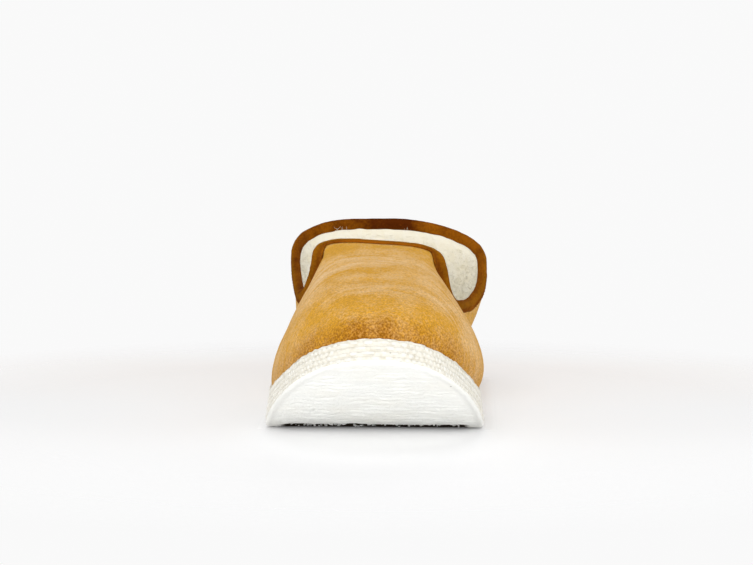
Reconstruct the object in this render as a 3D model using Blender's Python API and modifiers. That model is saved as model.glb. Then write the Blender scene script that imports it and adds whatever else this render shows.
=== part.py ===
"""Wool-lined house slipper for the right foot: foam outsole, insole, hollow upper and bound collar.

Metres, +Z up. The toe points along -Y and +X is the inner (big toe) side. The origin is on the floor,
below the middle of the slipper's box.
"""

import math

import bmesh
import bpy
import numpy as np

MM = 0.001

# Driving sizes
LENGTH = 270 * MM            # sole, toe tip to heel back, measured flat
BALL_WIDTH = 105 * MM        # widest part of the sole
INSTEP_HEIGHT = 85.4 * MM    # floor to the upper's edge at the middle of the throat
HEEL_HEIGHT = 85.0 * MM      # floor to the upper's edge at the back of the heel
SWING = 3.95 * MM            # how far the toe and heel curve to the inner side of the ball
SWING_MIDDLE = 0.41          # share of the length where the curve turns

# Sole
TOE_SPRING = 42.2 * MM       # lift of the lower edge at the toe tip
SPRING_REACH = 91.5 * MM     # toe tip to the first flat of the forefoot
SPRING_EASE = 0.47           # how softly the sole leaves the floor
ARCH_LIFT = 2.0 * MM
ARCH_ENDS = (0.50, 0.73)     # shares of the length
HEEL_LIFT = 2.5 * MM
HEEL_LIFT_FROM = 0.93
TOE_THICKNESS = 12.8 * MM
BALL_THICKNESS = 19.6 * MM
HEEL_THICKNESS = 22.0 * MM
TOE_TO = 0.106               # share of the length up to which the sole has its toe thickness
BALL_FROM = 0.378            # share of the length where it has its ball thickness
HEEL_FROM = 0.80
TAPER = 2.0 * MM             # how far the wall leans in from its lower to its upper edge
TOP_EDGE = 0.9 * MM          # rounding of the wall's upper edge
LOWER_EDGE = ((0.00, 2.2 * MM), (0.03, 0.9 * MM), (0.10, 0.2 * MM))   # share of the height, inset
RIB_COUNT = 4
RIB_ENDS = (0.16, 0.95)      # shares of the wall's height
RIB_DEPTH = 0.6 * MM
RIB_FLAT = 0.62              # share of a rib's pitch that is its flat face

# Upper, binding and insole
WALL = 2.5 * MM              # skin and the dense root of its wool
GAP = 0.3 * MM
FEATHER_INSET = 0.3 * MM     # sole's upper edge to the foot of the upper
UPPER_LEAN = 4.7 * MM        # the empty vamp bellies out to its inner side
LEAN_FADES = (0.42, 0.65)    # shares of the length over which the lean dies out
RIM_TILT = 0.055             # the collar falls by this slope towards that side
HEEL_TILT = 0.018            # slope that is added at the heel
FLARE_POWER = 12             # how late the throat's sides turn out
BINDING_THICKNESS = 0.9 * MM
BINDING_OUTSIDE = 6.0 * MM   # width of the strip on the outer face; it is a third less on the inner one
INSOLE_THICKNESS = 4.0 * MM
INSOLE_CLEARANCE = 1.2 * MM
INSOLE_EASE = 1.2 * MM

# Mesh steps
AROUND = 88
LOWER_WALL = 10              # from the sole to the edge of the binding
RIM_STEPS = 3                # from there to the rim
CROWN_STEPS = 4
RIM_SEARCH = 0.6             # share of the wall below which the binding doesn't reach
RIM_SAMPLES = 41
SHARP_ANGLE = 35             # degrees
NUDGE = 1e-4

# Colour and roughness
SUEDE = ((0.63, 0.36, 0.10), 0.90)
BINDING_SUEDE = ((0.20, 0.07, 0.02), 0.85)
FOAM = ((0.86, 0.86, 0.82), 0.75)
WOOL = ((0.83, 0.79, 0.68), 0.95)

# Half widths of the sole on each side of the centre line, at the ball, waist and heel.
# at: share of the length. wide: share of half the ball width.
SOLE_COLUMNS = ("place", "outer_at", "outer_wide", "inner_at", "inner_wide")
SOLE_TABLE = (
    ("ball", 0.343, 1.006, 0.319, 0.984),
    ("waist", 0.60, 0.89, 0.58, 0.82),
    ("heel", 0.84, 0.81, 0.84, 0.81),
)
TOE_FULLNESS = 2.215
HEEL_FULLNESS = 2.3

# Sections of the upper, fanned round the foot from the toe to the heel, for one side.
# foot: share of the length where the section stands on the sole.
# rim_wide: share of half the ball width. rim_at: share of the length. rim_high: share of the height there.
# pull_*: millimetres from the rim to the handle that shapes the wall below it (wide, forward, down).
# belly, rise: millimetres out and up from the sole to the handle that shapes the lower wall.
# flare: millimetres that the wall's last part turns out.
UPPER_COLUMNS = ("place", "foot", "rim_wide", "rim_at", "rim_high",
                 "pull_wide", "pull_forward", "pull_down", "belly", "rise", "flare")
UPPER_TABLE = (
    ("toe", 0.000, 0.00, 0.463, 1.000, 0.0, 60.0, 15.0, 3.5, 19.0, 0.0),
    ("toe corner", 0.033, 0.27, 0.463, 0.999, 4.0, 48.0, 13.0, 4.5, 19.0, 0.5),
    ("toe side", 0.120, 0.52, 0.466, 0.975, 6.0, 30.0, 11.0, 6.2, 19.7, 4.0),
    ("ball", 0.265, 0.618, 0.480, 0.906, 5.0, 18.0, 8.0, 8.7, 19.3, 8.0),
    ("throat corner", 0.375, 0.652, 0.505, 0.815, 4.0, 16.0, 6.0, 9.5, 18.0, 8.0),
    ("throat side", 0.480, 0.705, 0.534, 0.686, 4.0, 13.0, 6.0, 9.1, 13.9, 6.0),
    ("notch", 0.590, 0.781, 0.594, 0.613, 0.0, 4.0, 9.0, 7.3, 11.0, 1.5),
    ("collar front", 0.685, 0.868, 0.696, 0.660, -1.0, 0.0, 12.0, 4.2, 12.0, 0.0),
    ("collar side", 0.780, 0.945, 0.798, 0.798, -1.0, 0.0, 18.0, 5.3, 18.0, 0.0),
    ("heel corner", 0.880, 0.866, 0.880, 0.907, -1.0, -1.0, 22.0, 6.6, 22.0, 0.0),
    ("heel", 1.000, 0.00, 0.980, 1.000, 0.0, -3.0, 24.0, 4.0, 24.0, 0.0),
)
SIDEWAYS = ("rim_wide", "pull_wide", "flare")


def column(table, columns, name):
    """One named column of a table, as numbers."""
    return np.array([row[columns.index(name)] for row in table], float)


def smooth(low, high, value):
    """0 below low, 1 above high and an eased step between them."""
    share = np.clip((value - low) / (high - low), 0.0, 1.0)
    return share * share * (3.0 - 2.0 * share)


def loop_spline(knots, values, at, period):
    """A closed cubic curve through values at knots, read at the places in at."""
    count = len(knots)
    step = np.diff(np.append(knots, knots[0] + period))
    rise = (np.roll(values, -1) - values) / step
    system = np.zeros((count, count))
    for i in range(count):
        system[i, i - 1] += step[i - 1]
        system[i, i] += 2.0 * (step[i - 1] + step[i])
        system[i, (i + 1) % count] += step[i]
    bend = np.linalg.solve(system, 6.0 * (rise - np.roll(rise, 1)))
    at = np.mod(np.asarray(at, float) - knots[0], period) + knots[0]
    i = np.clip(np.searchsorted(knots, at, side="right") - 1, 0, count - 1)
    after = (i + 1) % count
    right = (at - knots[i]) / step[i]
    left = 1.0 - right
    ease = step[i] ** 2 / 6.0
    return (left * values[i] + right * values[after]
            + ease * ((left ** 3 - left) * bend[i] + (right ** 3 - right) * bend[after]))


def unit(vectors):
    return vectors / np.linalg.norm(vectors, axis=-1, keepdims=True)


def split(s):
    """Distance from the toe and side of a place round the foot: 0 toe, 1 heel, 2 toe, outer side first."""
    s = np.mod(np.asarray(s, float), 2.0)
    side = np.where(s <= 1.0, -1.0, 1.0)
    share = np.where(s <= 1.0, s, 2.0 - s)
    return LENGTH * (1.0 - np.cos(math.pi * share)) / 2.0, side


def swing(d):
    """Centre line of the foot: it curves to the inner side before and behind the ball."""
    return SWING * ((d - SWING_MIDDLE * LENGTH) / (LENGTH / 2.0)) ** 2


def half_width(d, side):
    """Half width of the sole on one side, d from the toe tip."""
    half = np.zeros_like(d)
    for sign, name in ((-1.0, "outer"), (1.0, "inner")):
        at = column(SOLE_TABLE, SOLE_COLUMNS, name + "_at") * LENGTH
        wide = column(SOLE_TABLE, SOLE_COLUMNS, name + "_wide") * BALL_WIDTH / 2.0
        toe = np.clip(1.0 - d / at[0], 0.0, 1.0)
        heel = np.clip((d - at[2]) / (LENGTH - at[2]), 0.0, 1.0)
        body = wide[0] + (wide[1] - wide[0]) * smooth(at[0], at[1], d)
        body = body + (wide[2] - wide[1]) * smooth(at[1], at[2], d)
        body = body * (1.0 - toe ** TOE_FULLNESS) ** (1.0 / TOE_FULLNESS)
        body = body * (1.0 - heel ** HEEL_FULLNESS) ** (1.0 / HEEL_FULLNESS)
        half = np.where(side == sign, body, half)
    return half


def outline(s):
    """Plan of the sole's edge: x and distance from the toe tip."""
    d, side = split(s)
    return swing(d) + side * half_width(d, side), d


def outline_normal(s):
    """Unit vectors that point out of the plan of the sole."""
    x0, d0 = outline(np.asarray(s) - NUDGE)
    x1, d1 = outline(np.asarray(s) + NUDGE)
    long = np.hypot(x1 - x0, d1 - d0)
    return -(d1 - d0) / long, (x1 - x0) / long


def underside(d):
    """Height of the sole's lower face."""
    lift = np.clip(1.0 - d / SPRING_REACH, 0.0, None)
    toe = TOE_SPRING * (1.0 + SPRING_EASE) * lift ** 2 / (lift + SPRING_EASE)
    arch = np.clip((d / LENGTH - ARCH_ENDS[0]) / (ARCH_ENDS[1] - ARCH_ENDS[0]), 0.0, 1.0)
    heel = np.clip((d / LENGTH - HEEL_LIFT_FROM) / (1.0 - HEEL_LIFT_FROM), 0.0, None)
    return toe + ARCH_LIFT * np.sin(math.pi * arch) ** 2 + HEEL_LIFT * heel ** 2


def thickness(d):
    """Height of the sole's wall."""
    ball = smooth(TOE_TO * LENGTH, BALL_FROM * LENGTH, d)
    heel = smooth(BALL_FROM * LENGTH, HEEL_FROM * LENGTH, d)
    return TOE_THICKNESS + (BALL_THICKNESS - TOE_THICKNESS) * ball + (HEEL_THICKNESS - BALL_THICKNESS) * heel


def sole_normal(d):
    """The sole's own up: backward and up shares, square to its lower face."""
    slope = (underside(d + NUDGE) - underside(d - NUDGE)) / (2.0 * NUDGE)
    long = np.hypot(slope, 1.0)
    return -slope / long, 1.0 / long


def sole_point(s, share, inset, above=0.0):
    """Points on the sole's wall: share of its height, inset from the outline, raised above that share."""
    x, d = outline(s)
    out_x, out_d = outline_normal(s)
    x = x - inset * out_x
    d = d - inset * out_d
    back, up = sole_normal(d)
    height = share * thickness(d) + above
    return np.stack([x, d + back * height - LENGTH / 2.0, underside(d) + up * height], axis=-1)


def upper_frame(s):
    """The four handles of each section of the upper, and the flare of its edge."""
    names = UPPER_COLUMNS[1:]
    rows = {name: column(UPPER_TABLE, UPPER_COLUMNS, name) for name in names}
    knots = np.arccos(1.0 - 2.0 * rows["foot"]) / math.pi
    inner = slice(len(knots) - 2, 0, -1)
    knots = np.concatenate([knots, 2.0 - knots[inner]])
    value = {}
    for name in names[1:]:
        outer_sign = -1.0 if name in SIDEWAYS else 1.0
        loop = np.concatenate([outer_sign * rows[name], rows[name][inner]])
        value[name] = loop_spline(knots, loop, s, 2.0)

    rim_d = value["rim_at"] * LENGTH
    wide = value["rim_wide"] * BALL_WIDTH / 2.0
    flare = value["flare"] * MM
    behind = (value["rim_at"] - rows["rim_at"][0]) / (rows["rim_at"][-1] - rows["rim_at"][0])
    height = INSTEP_HEIGHT + (HEEL_HEIGHT - INSTEP_HEIGHT) * behind
    rim = np.stack([
        swing(rim_d) + wide - flare,
        rim_d - LENGTH / 2.0,
        value["rim_high"] * height - (RIM_TILT + HEEL_TILT * behind) * wide,
    ], axis=-1)
    lean = UPPER_LEAN * (1.0 - smooth(*LEAN_FADES, split(s)[0] / LENGTH))
    lean = np.stack([lean, 0.0 * lean, 0.0 * lean], axis=-1)
    pull = np.stack([value["pull_wide"], -value["pull_forward"], -value["pull_down"]], axis=-1) * MM
    foot = sole_point(s, 1.0, TAPER + TOP_EDGE + FEATHER_INSET, GAP)
    out_x, out_d = outline_normal(s)
    lift = np.stack([out_x * value["belly"], out_d * value["belly"], value["rise"]], axis=-1) * MM
    return foot, foot + lift + lean, rim + pull, rim, flare


def upper_point(s, v):
    """Outer face of the upper: s round the foot, v from the sole (0) to the rim (1)."""
    foot, low, high, rim, flare = upper_frame(s)
    v = np.asarray(v, float)[..., None]
    u = 1.0 - v
    point = u ** 3 * foot + 3.0 * u * u * v * low + 3.0 * u * v * v * high + v ** 3 * rim
    point[..., 0] += flare * v[..., 0] ** FLARE_POWER
    return point


def up_the_wall(s, v):
    """The way that the upper's sections run, as a length for the whole section."""
    return (upper_point(s, v + NUDGE) - upper_point(s, v - NUDGE)) / (2.0 * NUDGE)


def upper_normal(s, v):
    """Unit vectors that point out of the upper."""
    round_foot = upper_point(s + NUDGE, v) - upper_point(s - NUDGE, v)
    return unit(np.cross(up_the_wall(s, v), round_foot))


def rim_rings(s):
    """Places up the wall at even steps across the binding's outer leg, the rim last."""
    v = np.linspace(RIM_SEARCH, 1.0, RIM_SAMPLES)
    points = np.array([upper_point(s, np.full(len(s), share)) for share in v])
    steps = np.linalg.norm(np.diff(points, axis=0), axis=-1)
    below = np.concatenate([np.cumsum(steps[::-1], axis=0)[::-1], np.zeros((1, len(s)))])
    drops = np.linspace(BINDING_OUTSIDE, 0.0, RIM_STEPS + 1)
    return [np.array([np.interp(drop, row[::-1], v[::-1]) for row in below.T]) for drop in drops]


def wall_profile():
    """The sole's wall from its lower to its upper edge: share of the height and inset."""
    rows = list(LOWER_EDGE)
    pitch = (RIB_ENDS[1] - RIB_ENDS[0]) / RIB_COUNT
    edge = (1.0 - RIB_FLAT) * pitch / 2.0
    for i in range(RIB_COUNT):
        low = RIB_ENDS[0] + i * pitch
        rows += [(low, RIB_DEPTH), (low + edge, 0.0), (low + pitch - edge, 0.0)]
    rows += [(RIB_ENDS[1], RIB_DEPTH), (1.0, TOP_EDGE)]
    return [(share, inset + TAPER * share) for share, inset in rows]


def stations():
    return np.arange(AROUND) * 2.0 / AROUND


def finish_mesh(name, bm, collection, root, look):
    """A named object from a bmesh, shaded smooth, in its own material."""
    colour, roughness = look
    bmesh.ops.recalc_face_normals(bm, faces=bm.faces)
    mesh = bpy.data.meshes.new(name)
    bm.to_mesh(mesh)
    bm.free()
    mesh.shade_smooth()
    mesh.set_sharp_from_angle(angle=math.radians(SHARP_ANGLE))
    material = bpy.data.materials.new(name)
    material.use_nodes = True
    shader = material.node_tree.nodes["Principled BSDF"]
    shader.inputs["Base Color"].default_value = (*colour, 1.0)
    shader.inputs["Roughness"].default_value = roughness
    shader.inputs["Metallic"].default_value = 0.0
    mesh.materials.append(material)
    part = bpy.data.objects.new(name, mesh)
    collection.objects.link(part)
    part.parent = root
    return part


def add_ring(bm, points):
    return [bm.verts.new(point) for point in points]


def bridge(bm, rings):
    """Faces between each closed ring and the next."""
    for low, high in zip(rings, rings[1:]):
        for i in range(len(low)):
            after = (i + 1) % len(low)
            bm.faces.new((low[i], low[after], high[after], high[i]))


def cap(bm, ring):
    """Strips across a ring from its outer to its inner side, so that a bent face stays level across."""
    half = len(ring) // 2
    bm.faces.new((ring[0], ring[1], ring[-1]))
    for i in range(1, half - 1):
        bm.faces.new((ring[i], ring[i + 1], ring[-i - 1], ring[-i]))
    bm.faces.new((ring[half - 1], ring[half], ring[half + 1]))


def make_outsole(collection, root):
    bm = bmesh.new()
    rings = [add_ring(bm, sole_point(stations(), share, inset)) for share, inset in wall_profile()]
    bridge(bm, rings)
    cap(bm, rings[0])
    cap(bm, rings[-1])
    return finish_mesh("outsole", bm, collection, root, FOAM)


def make_insole(collection, root):
    """A felted footbed on the sole, inside the upper's wall, with an eased upper edge."""
    edge = TAPER + TOP_EDGE + FEATHER_INSET + WALL + INSOLE_CLEARANCE
    top = GAP + INSOLE_THICKNESS
    profile = ((GAP, edge), (top - INSOLE_EASE, edge), (top, edge + INSOLE_EASE))
    bm = bmesh.new()
    rings = [add_ring(bm, sole_point(stations(), 1.0, inset, above)) for above, inset in profile]
    bridge(bm, rings)
    cap(bm, rings[0])
    cap(bm, rings[-1])
    return finish_mesh("insole", bm, collection, root, WOOL)


def make_upper(collection, root):
    """The upper's outer face as an open sleeve from the sole to the rim, thickened inwards."""
    s = stations()
    rings = rim_rings(s)
    lower = [rings[0] * share for share in np.linspace(0.0, 1.0, LOWER_WALL + 1)]
    bm = bmesh.new()
    bridge(bm, [add_ring(bm, upper_point(s, v)) for v in lower + rings[1:]])
    part = finish_mesh("upper", bm, collection, root, SUEDE)
    shell = part.modifiers.new("wall", "SOLIDIFY")
    shell.thickness = WALL
    shell.offset = -1.0
    return part


def make_binding(collection, root):
    """A strip folded over the rim: a leg outside the wall, a round crown above it and a leg inside."""
    s = stations()
    outside = rim_rings(s)
    inside = outside[1:]
    rim = outside[-1]
    along = unit(upper_point(s + NUDGE, rim) - upper_point(s - NUDGE, rim))
    up = up_the_wall(s, rim)
    up = unit(up - along * np.sum(along * up, axis=-1, keepdims=True))
    far = GAP + BINDING_THICKNESS
    radius = WALL / 2.0 + far

    def leg(v, out):
        return upper_point(s, v) + upper_normal(s, v) * out

    crown = []
    for turn in np.linspace(0.0, math.pi, CROWN_STEPS + 1)[1:-1]:
        crown.append(leg(rim, radius * math.cos(turn) - WALL / 2.0) + up * radius * math.sin(turn))

    loops = [leg(v, far) for v in outside] + crown + [leg(v, -WALL - far) for v in reversed(inside)]
    loops += [leg(v, -WALL - GAP) for v in inside[:-1]]
    loops += [leg(rim, -WALL - GAP) + up * GAP, leg(rim, GAP) + up * GAP]
    loops += [leg(v, GAP) for v in reversed(outside[:-1])]

    bm = bmesh.new()
    rings = [add_ring(bm, points) for points in loops]
    bridge(bm, rings + rings[:1])
    return finish_mesh("collar_binding", bm, collection, root, BINDING_SUEDE)


def stand_on_floor(parts, root):
    """Moves the slipper so that the origin is on the floor below the middle of its box."""
    bpy.context.view_layer.update()
    depsgraph = bpy.context.evaluated_depsgraph_get()
    corners = np.array([corner for part in parts for corner in part.evaluated_get(depsgraph).bound_box])
    middle = (corners.min(axis=0) + corners.max(axis=0)) / 2.0
    root.location = (-middle[0], -middle[1], -corners[:, 2].min())
    bpy.context.view_layer.update()


def main():
    for old in list(bpy.data.objects):
        bpy.data.objects.remove(old)
    collection = bpy.data.collections.new("house_slipper")
    bpy.context.scene.collection.children.link(collection)
    root = bpy.data.objects.new("slipper_root", None)
    collection.objects.link(root)
    parts = [make(collection, root) for make in (make_outsole, make_insole, make_upper, make_binding)]
    stand_on_floor(parts, root)


main()
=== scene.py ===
import math

import bmesh
import bpy
import numpy as np
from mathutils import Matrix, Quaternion, Vector


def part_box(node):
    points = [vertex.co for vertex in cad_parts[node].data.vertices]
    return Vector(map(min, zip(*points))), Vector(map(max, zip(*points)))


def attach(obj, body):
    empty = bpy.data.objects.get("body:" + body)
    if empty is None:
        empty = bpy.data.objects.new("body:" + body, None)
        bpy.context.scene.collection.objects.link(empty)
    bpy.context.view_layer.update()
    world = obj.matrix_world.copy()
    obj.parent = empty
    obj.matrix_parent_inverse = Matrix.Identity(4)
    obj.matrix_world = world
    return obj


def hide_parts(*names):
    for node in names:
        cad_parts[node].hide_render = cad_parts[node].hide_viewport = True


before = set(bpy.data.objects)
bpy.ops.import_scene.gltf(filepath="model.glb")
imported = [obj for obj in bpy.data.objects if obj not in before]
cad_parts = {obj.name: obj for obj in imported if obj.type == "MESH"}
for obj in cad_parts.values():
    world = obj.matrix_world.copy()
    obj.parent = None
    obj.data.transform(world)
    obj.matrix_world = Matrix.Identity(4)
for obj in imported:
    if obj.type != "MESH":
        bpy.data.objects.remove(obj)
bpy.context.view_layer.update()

mm = 0.001
scene = bpy.context.scene
print("frame loaded:", ", ".join(sorted(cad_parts)))


# camera and colour, set before the pieces
view = {
    "aim": (0.0, -57.0, 70.5),   # mm, at the middle of the picture
    "distance": 1.3,             # metres
    "elevation": 5.6,            # degrees, like the next two
    "yaw": 1.8,
    "roll": 0.11,
    "lens": 131.8,
    "sensor": 36.0,
}


def makeCamera():
    elevation = math.radians(view["elevation"])
    yaw = math.radians(view["yaw"])
    level = math.cos(elevation)
    back = Vector((math.sin(yaw) * level, -math.cos(yaw) * level, math.sin(elevation)))
    camera = bpy.data.objects.new("camera", bpy.data.cameras.new("camera"))
    camera.data.lens = view["lens"]
    camera.data.sensor_width = view["sensor"]
    camera.location = Vector(view["aim"]) * mm + back * view["distance"]
    camera.rotation_mode = "QUATERNION"
    roll = Quaternion((0, 0, 1), math.radians(view["roll"]))
    camera.rotation_quaternion = (-back).to_track_quat("-Z", "Y") @ roll
    scene.collection.objects.link(camera)
    scene.camera = camera


makeCamera()
scene.view_settings.view_transform = "Standard"
scene.view_settings.look = "None"


# the form of the shoe, in mm and in shares of its length
form = {
    "length": 270.0,
    "ballWidth": 105.0,
    "instepHeight": 85.4,
    "heelHeight": 85.0,
    "swing": 3.95,
    "swingMiddle": 0.41,
    "toeSpring": 42.2,
    "springReach": 91.5,
    "springEase": 0.47,
    "archLift": 2.0,
    "archEnds": (0.50, 0.73),
    "heelLift": 2.5,
    "heelLiftFrom": 0.93,
    "thickness": (12.8, 19.6, 22.0),   # toe, ball, heel
    "toeTo": 0.106,
    "ballFrom": 0.378,
    "heelFrom": 0.80,
    "taper": 2.0,
    "topEdge": 0.9,
    "toeFullness": 2.215,
    "heelFullness": 2.3,
    "wall": 2.5,
    "gap": 0.3,
    "featherInset": 0.3,
    "lean": 4.7,
    "leanFades": (0.42, 0.65),
    "rimTilt": 0.055,
    "heelTilt": 0.018,
    "flarePower": 12,
    "throatIn": 1.8,               # the worn throat stands a little narrower
    "throatFrom": (0.12, 0.26),
    "throatTo": (0.42, 0.56),
    # worn into the rim: place round the foot, reach, mm out, mm down, mm of belly
    "rimBends": (
        (1.355, 0.045, 1.9, 1.4, -2.2),
        (1.395, 0.022, 0.0, 0.5, 0.0),
        (1.435, 0.030, 0.0, -0.8, 0.0),
        (1.505, 0.050, -1.3, 0.0, 0.0),
        (0.945, 0.060, 0.0, 0.8, 0.0),
    ),
}

soleColumns = ("place", "outerAt", "outerWide", "innerAt", "innerWide")
soleRows = (
    ("ball", 0.343, 1.006, 0.319, 0.984),
    ("waist", 0.60, 0.89, 0.58, 0.82),
    ("heel", 0.84, 0.81, 0.84, 0.81),
)

# sections of the upper, toe to heel: where each stands on the sole, its rim, and its handles in mm
upperColumns = ("place", "foot", "rimWide", "rimAt", "rimHigh",
                "pullWide", "pullForward", "pullDown", "belly", "rise", "flare")
upperRows = (
    ("toe", 0.000, 0.00, 0.463, 1.000, 0.0, 60.0, 15.0, 3.5, 19.0, 0.0),
    ("toe corner", 0.033, 0.27, 0.463, 0.999, 4.0, 48.0, 13.0, 4.5, 19.0, 0.5),
    ("toe side", 0.120, 0.52, 0.466, 0.975, 6.0, 30.0, 11.0, 6.2, 19.7, 4.0),
    ("ball", 0.265, 0.618, 0.480, 0.906, 5.0, 18.0, 8.0, 8.7, 19.3, 8.0),
    ("throat corner", 0.375, 0.652, 0.505, 0.815, 4.0, 16.0, 6.0, 9.5, 18.0, 8.0),
    ("throat side", 0.480, 0.705, 0.534, 0.686, 4.0, 13.0, 6.0, 9.1, 13.9, 6.0),
    ("notch", 0.590, 0.781, 0.594, 0.613, 0.0, 4.0, 9.0, 7.3, 11.0, 1.5),
    ("collar front", 0.685, 0.868, 0.696, 0.660, -1.0, 0.0, 12.0, 4.2, 12.0, 0.0),
    ("collar side", 0.780, 0.945, 0.798, 0.798, -1.0, 0.0, 18.0, 5.3, 18.0, 0.0),
    ("heel corner", 0.880, 0.866, 0.880, 0.907, -1.0, -1.0, 22.0, 6.6, 22.0, 0.0),
    ("heel", 1.000, 0.00, 0.980, 1.000, 0.0, -3.0, 24.0, 4.0, 24.0, 0.0),
)
sideways = ("rimWide", "pullWide", "flare")
nudge = 1e-4                                    # step for slopes
hashWay = np.array([12.9898, 78.233, 37.719])   # these two scramble a cell's corner into a number
hashSize = 43758.5453


def column(rows, names, name):
    return np.array([row[names.index(name)] for row in rows], float)


def smooth(low, high, value):   # eased step
    share = np.clip((value - low) / (high - low), 0.0, 1.0)
    return share * share * (3.0 - 2.0 * share)


def fadeOut(low, high, value):
    return 1.0 - smooth(low, high, value)


def hump(value, at, reach):   # 1 at that place, fading to both sides
    return np.exp(-((value - at) / reach) ** 2)


def unit(vectors):
    return vectors / np.linalg.norm(vectors, axis=-1, keepdims=True)


def softNoise(points, size, seed):   # smooth lumps of about that size, from -1 to 1
    grid = np.asarray(points, float) / size
    cell = np.floor(grid)
    share = grid - cell
    share = share * share * (3.0 - 2.0 * share)
    total = np.zeros(grid.shape[:-1])
    for corner in range(8):
        step = np.array([corner & 1, corner >> 1 & 1, corner >> 2 & 1])
        mixed = np.sin((cell + step) @ hashWay + seed) * hashSize
        weight = np.prod(np.where(step == 1, share, 1.0 - share), axis=-1)
        total += weight * (mixed - np.floor(mixed))
    return 2.0 * total - 1.0


def layered(points, layers):   # soft noise added up: each layer's height, size and seed
    return sum(height * softNoise(points, size, seed) for height, size, seed in layers)


def loopSpline(knots, values, at, period):   # closed cubic curve through values at knots
    count = len(knots)
    step = np.diff(np.append(knots, knots[0] + period))
    rise = (np.roll(values, -1) - values) / step
    system = np.zeros((count, count))
    for i in range(count):
        system[i, i - 1] += step[i - 1]
        system[i, i] += 2.0 * (step[i - 1] + step[i])
        system[i, (i + 1) % count] += step[i]
    bend = np.linalg.solve(system, 6.0 * (rise - np.roll(rise, 1)))
    at = np.mod(np.asarray(at, float) - knots[0], period) + knots[0]
    i = np.clip(np.searchsorted(knots, at, side="right") - 1, 0, count - 1)
    after = (i + 1) % count
    right = (at - knots[i]) / step[i]
    left = 1.0 - right
    ease = step[i] ** 2 / 6.0
    return (left * values[i] + right * values[after]
            + ease * ((left ** 3 - left) * bend[i] + (right ** 3 - right) * bend[after]))


# a place round the foot, s: 0 toe, 1 heel, 2 toe again, outer side first
def fromToe(s):
    s = np.mod(np.asarray(s, float), 2.0)
    share = np.where(s <= 1.0, s, 2.0 - s)
    return form["length"] * (1.0 - np.cos(math.pi * share)) / 2.0, np.where(s <= 1.0, -1.0, 1.0)


def behindToe(points):   # mm, before the shift to the solids
    return points[..., 1] + form["length"] / 2.0


def swing(d):
    return form["swing"] * ((d / form["length"] - form["swingMiddle"]) * 2.0) ** 2


def halfWidth(d, side):
    half = np.zeros_like(d)
    for sign, name in ((-1.0, "outer"), (1.0, "inner")):
        at = column(soleRows, soleColumns, name + "At") * form["length"]
        wide = column(soleRows, soleColumns, name + "Wide") * form["ballWidth"] / 2.0
        toe = np.clip(1.0 - d / at[0], 0.0, 1.0)
        heel = np.clip((d - at[2]) / (form["length"] - at[2]), 0.0, 1.0)
        body = wide[0] + (wide[1] - wide[0]) * smooth(at[0], at[1], d)
        body = body + (wide[2] - wide[1]) * smooth(at[1], at[2], d)
        body = body * (1.0 - toe ** form["toeFullness"]) ** (1.0 / form["toeFullness"])
        body = body * (1.0 - heel ** form["heelFullness"]) ** (1.0 / form["heelFullness"])
        half = np.where(side == sign, body, half)
    return half


def outline(s):
    d, side = fromToe(s)
    return swing(d) + side * halfWidth(d, side), d


def outlineNormal(s):
    x0, d0 = outline(np.asarray(s) - nudge)
    x1, d1 = outline(np.asarray(s) + nudge)
    long = np.hypot(x1 - x0, d1 - d0)
    return -(d1 - d0) / long, (x1 - x0) / long


def underside(d):
    share = d / form["length"]
    lift = np.clip(1.0 - d / form["springReach"], 0.0, None)
    toe = form["toeSpring"] * (1.0 + form["springEase"]) * lift ** 2 / (lift + form["springEase"])
    first, last = form["archEnds"]
    arch = np.clip((share - first) / (last - first), 0.0, 1.0)
    heel = np.clip((share - form["heelLiftFrom"]) / (1.0 - form["heelLiftFrom"]), 0.0, None)
    return toe + form["archLift"] * np.sin(math.pi * arch) ** 2 + form["heelLift"] * heel ** 2


def soleThickness(d):
    toe, ball, heel = form["thickness"]
    share = d / form["length"]
    toBall = smooth(form["toeTo"], form["ballFrom"], share)
    toHeel = smooth(form["ballFrom"], form["heelFrom"], share)
    return toe + (ball - toe) * toBall + (heel - ball) * toHeel


def soleUp(d):   # the sole's own up, square to its lower face
    slope = (underside(d + nudge) - underside(d - nudge)) / (2.0 * nudge)
    long = np.hypot(slope, 1.0)
    return -slope / long, 1.0 / long


def solePoint(s, share, inset, above=0.0):
    x, d = outline(s)
    outX, outD = outlineNormal(s)
    x = x - inset * outX
    d = d - inset * outD
    back, up = soleUp(d)
    height = share * soleThickness(d) + above
    return np.stack([x, d + back * height - form["length"] / 2.0, underside(d) + up * height], axis=-1)


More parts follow.
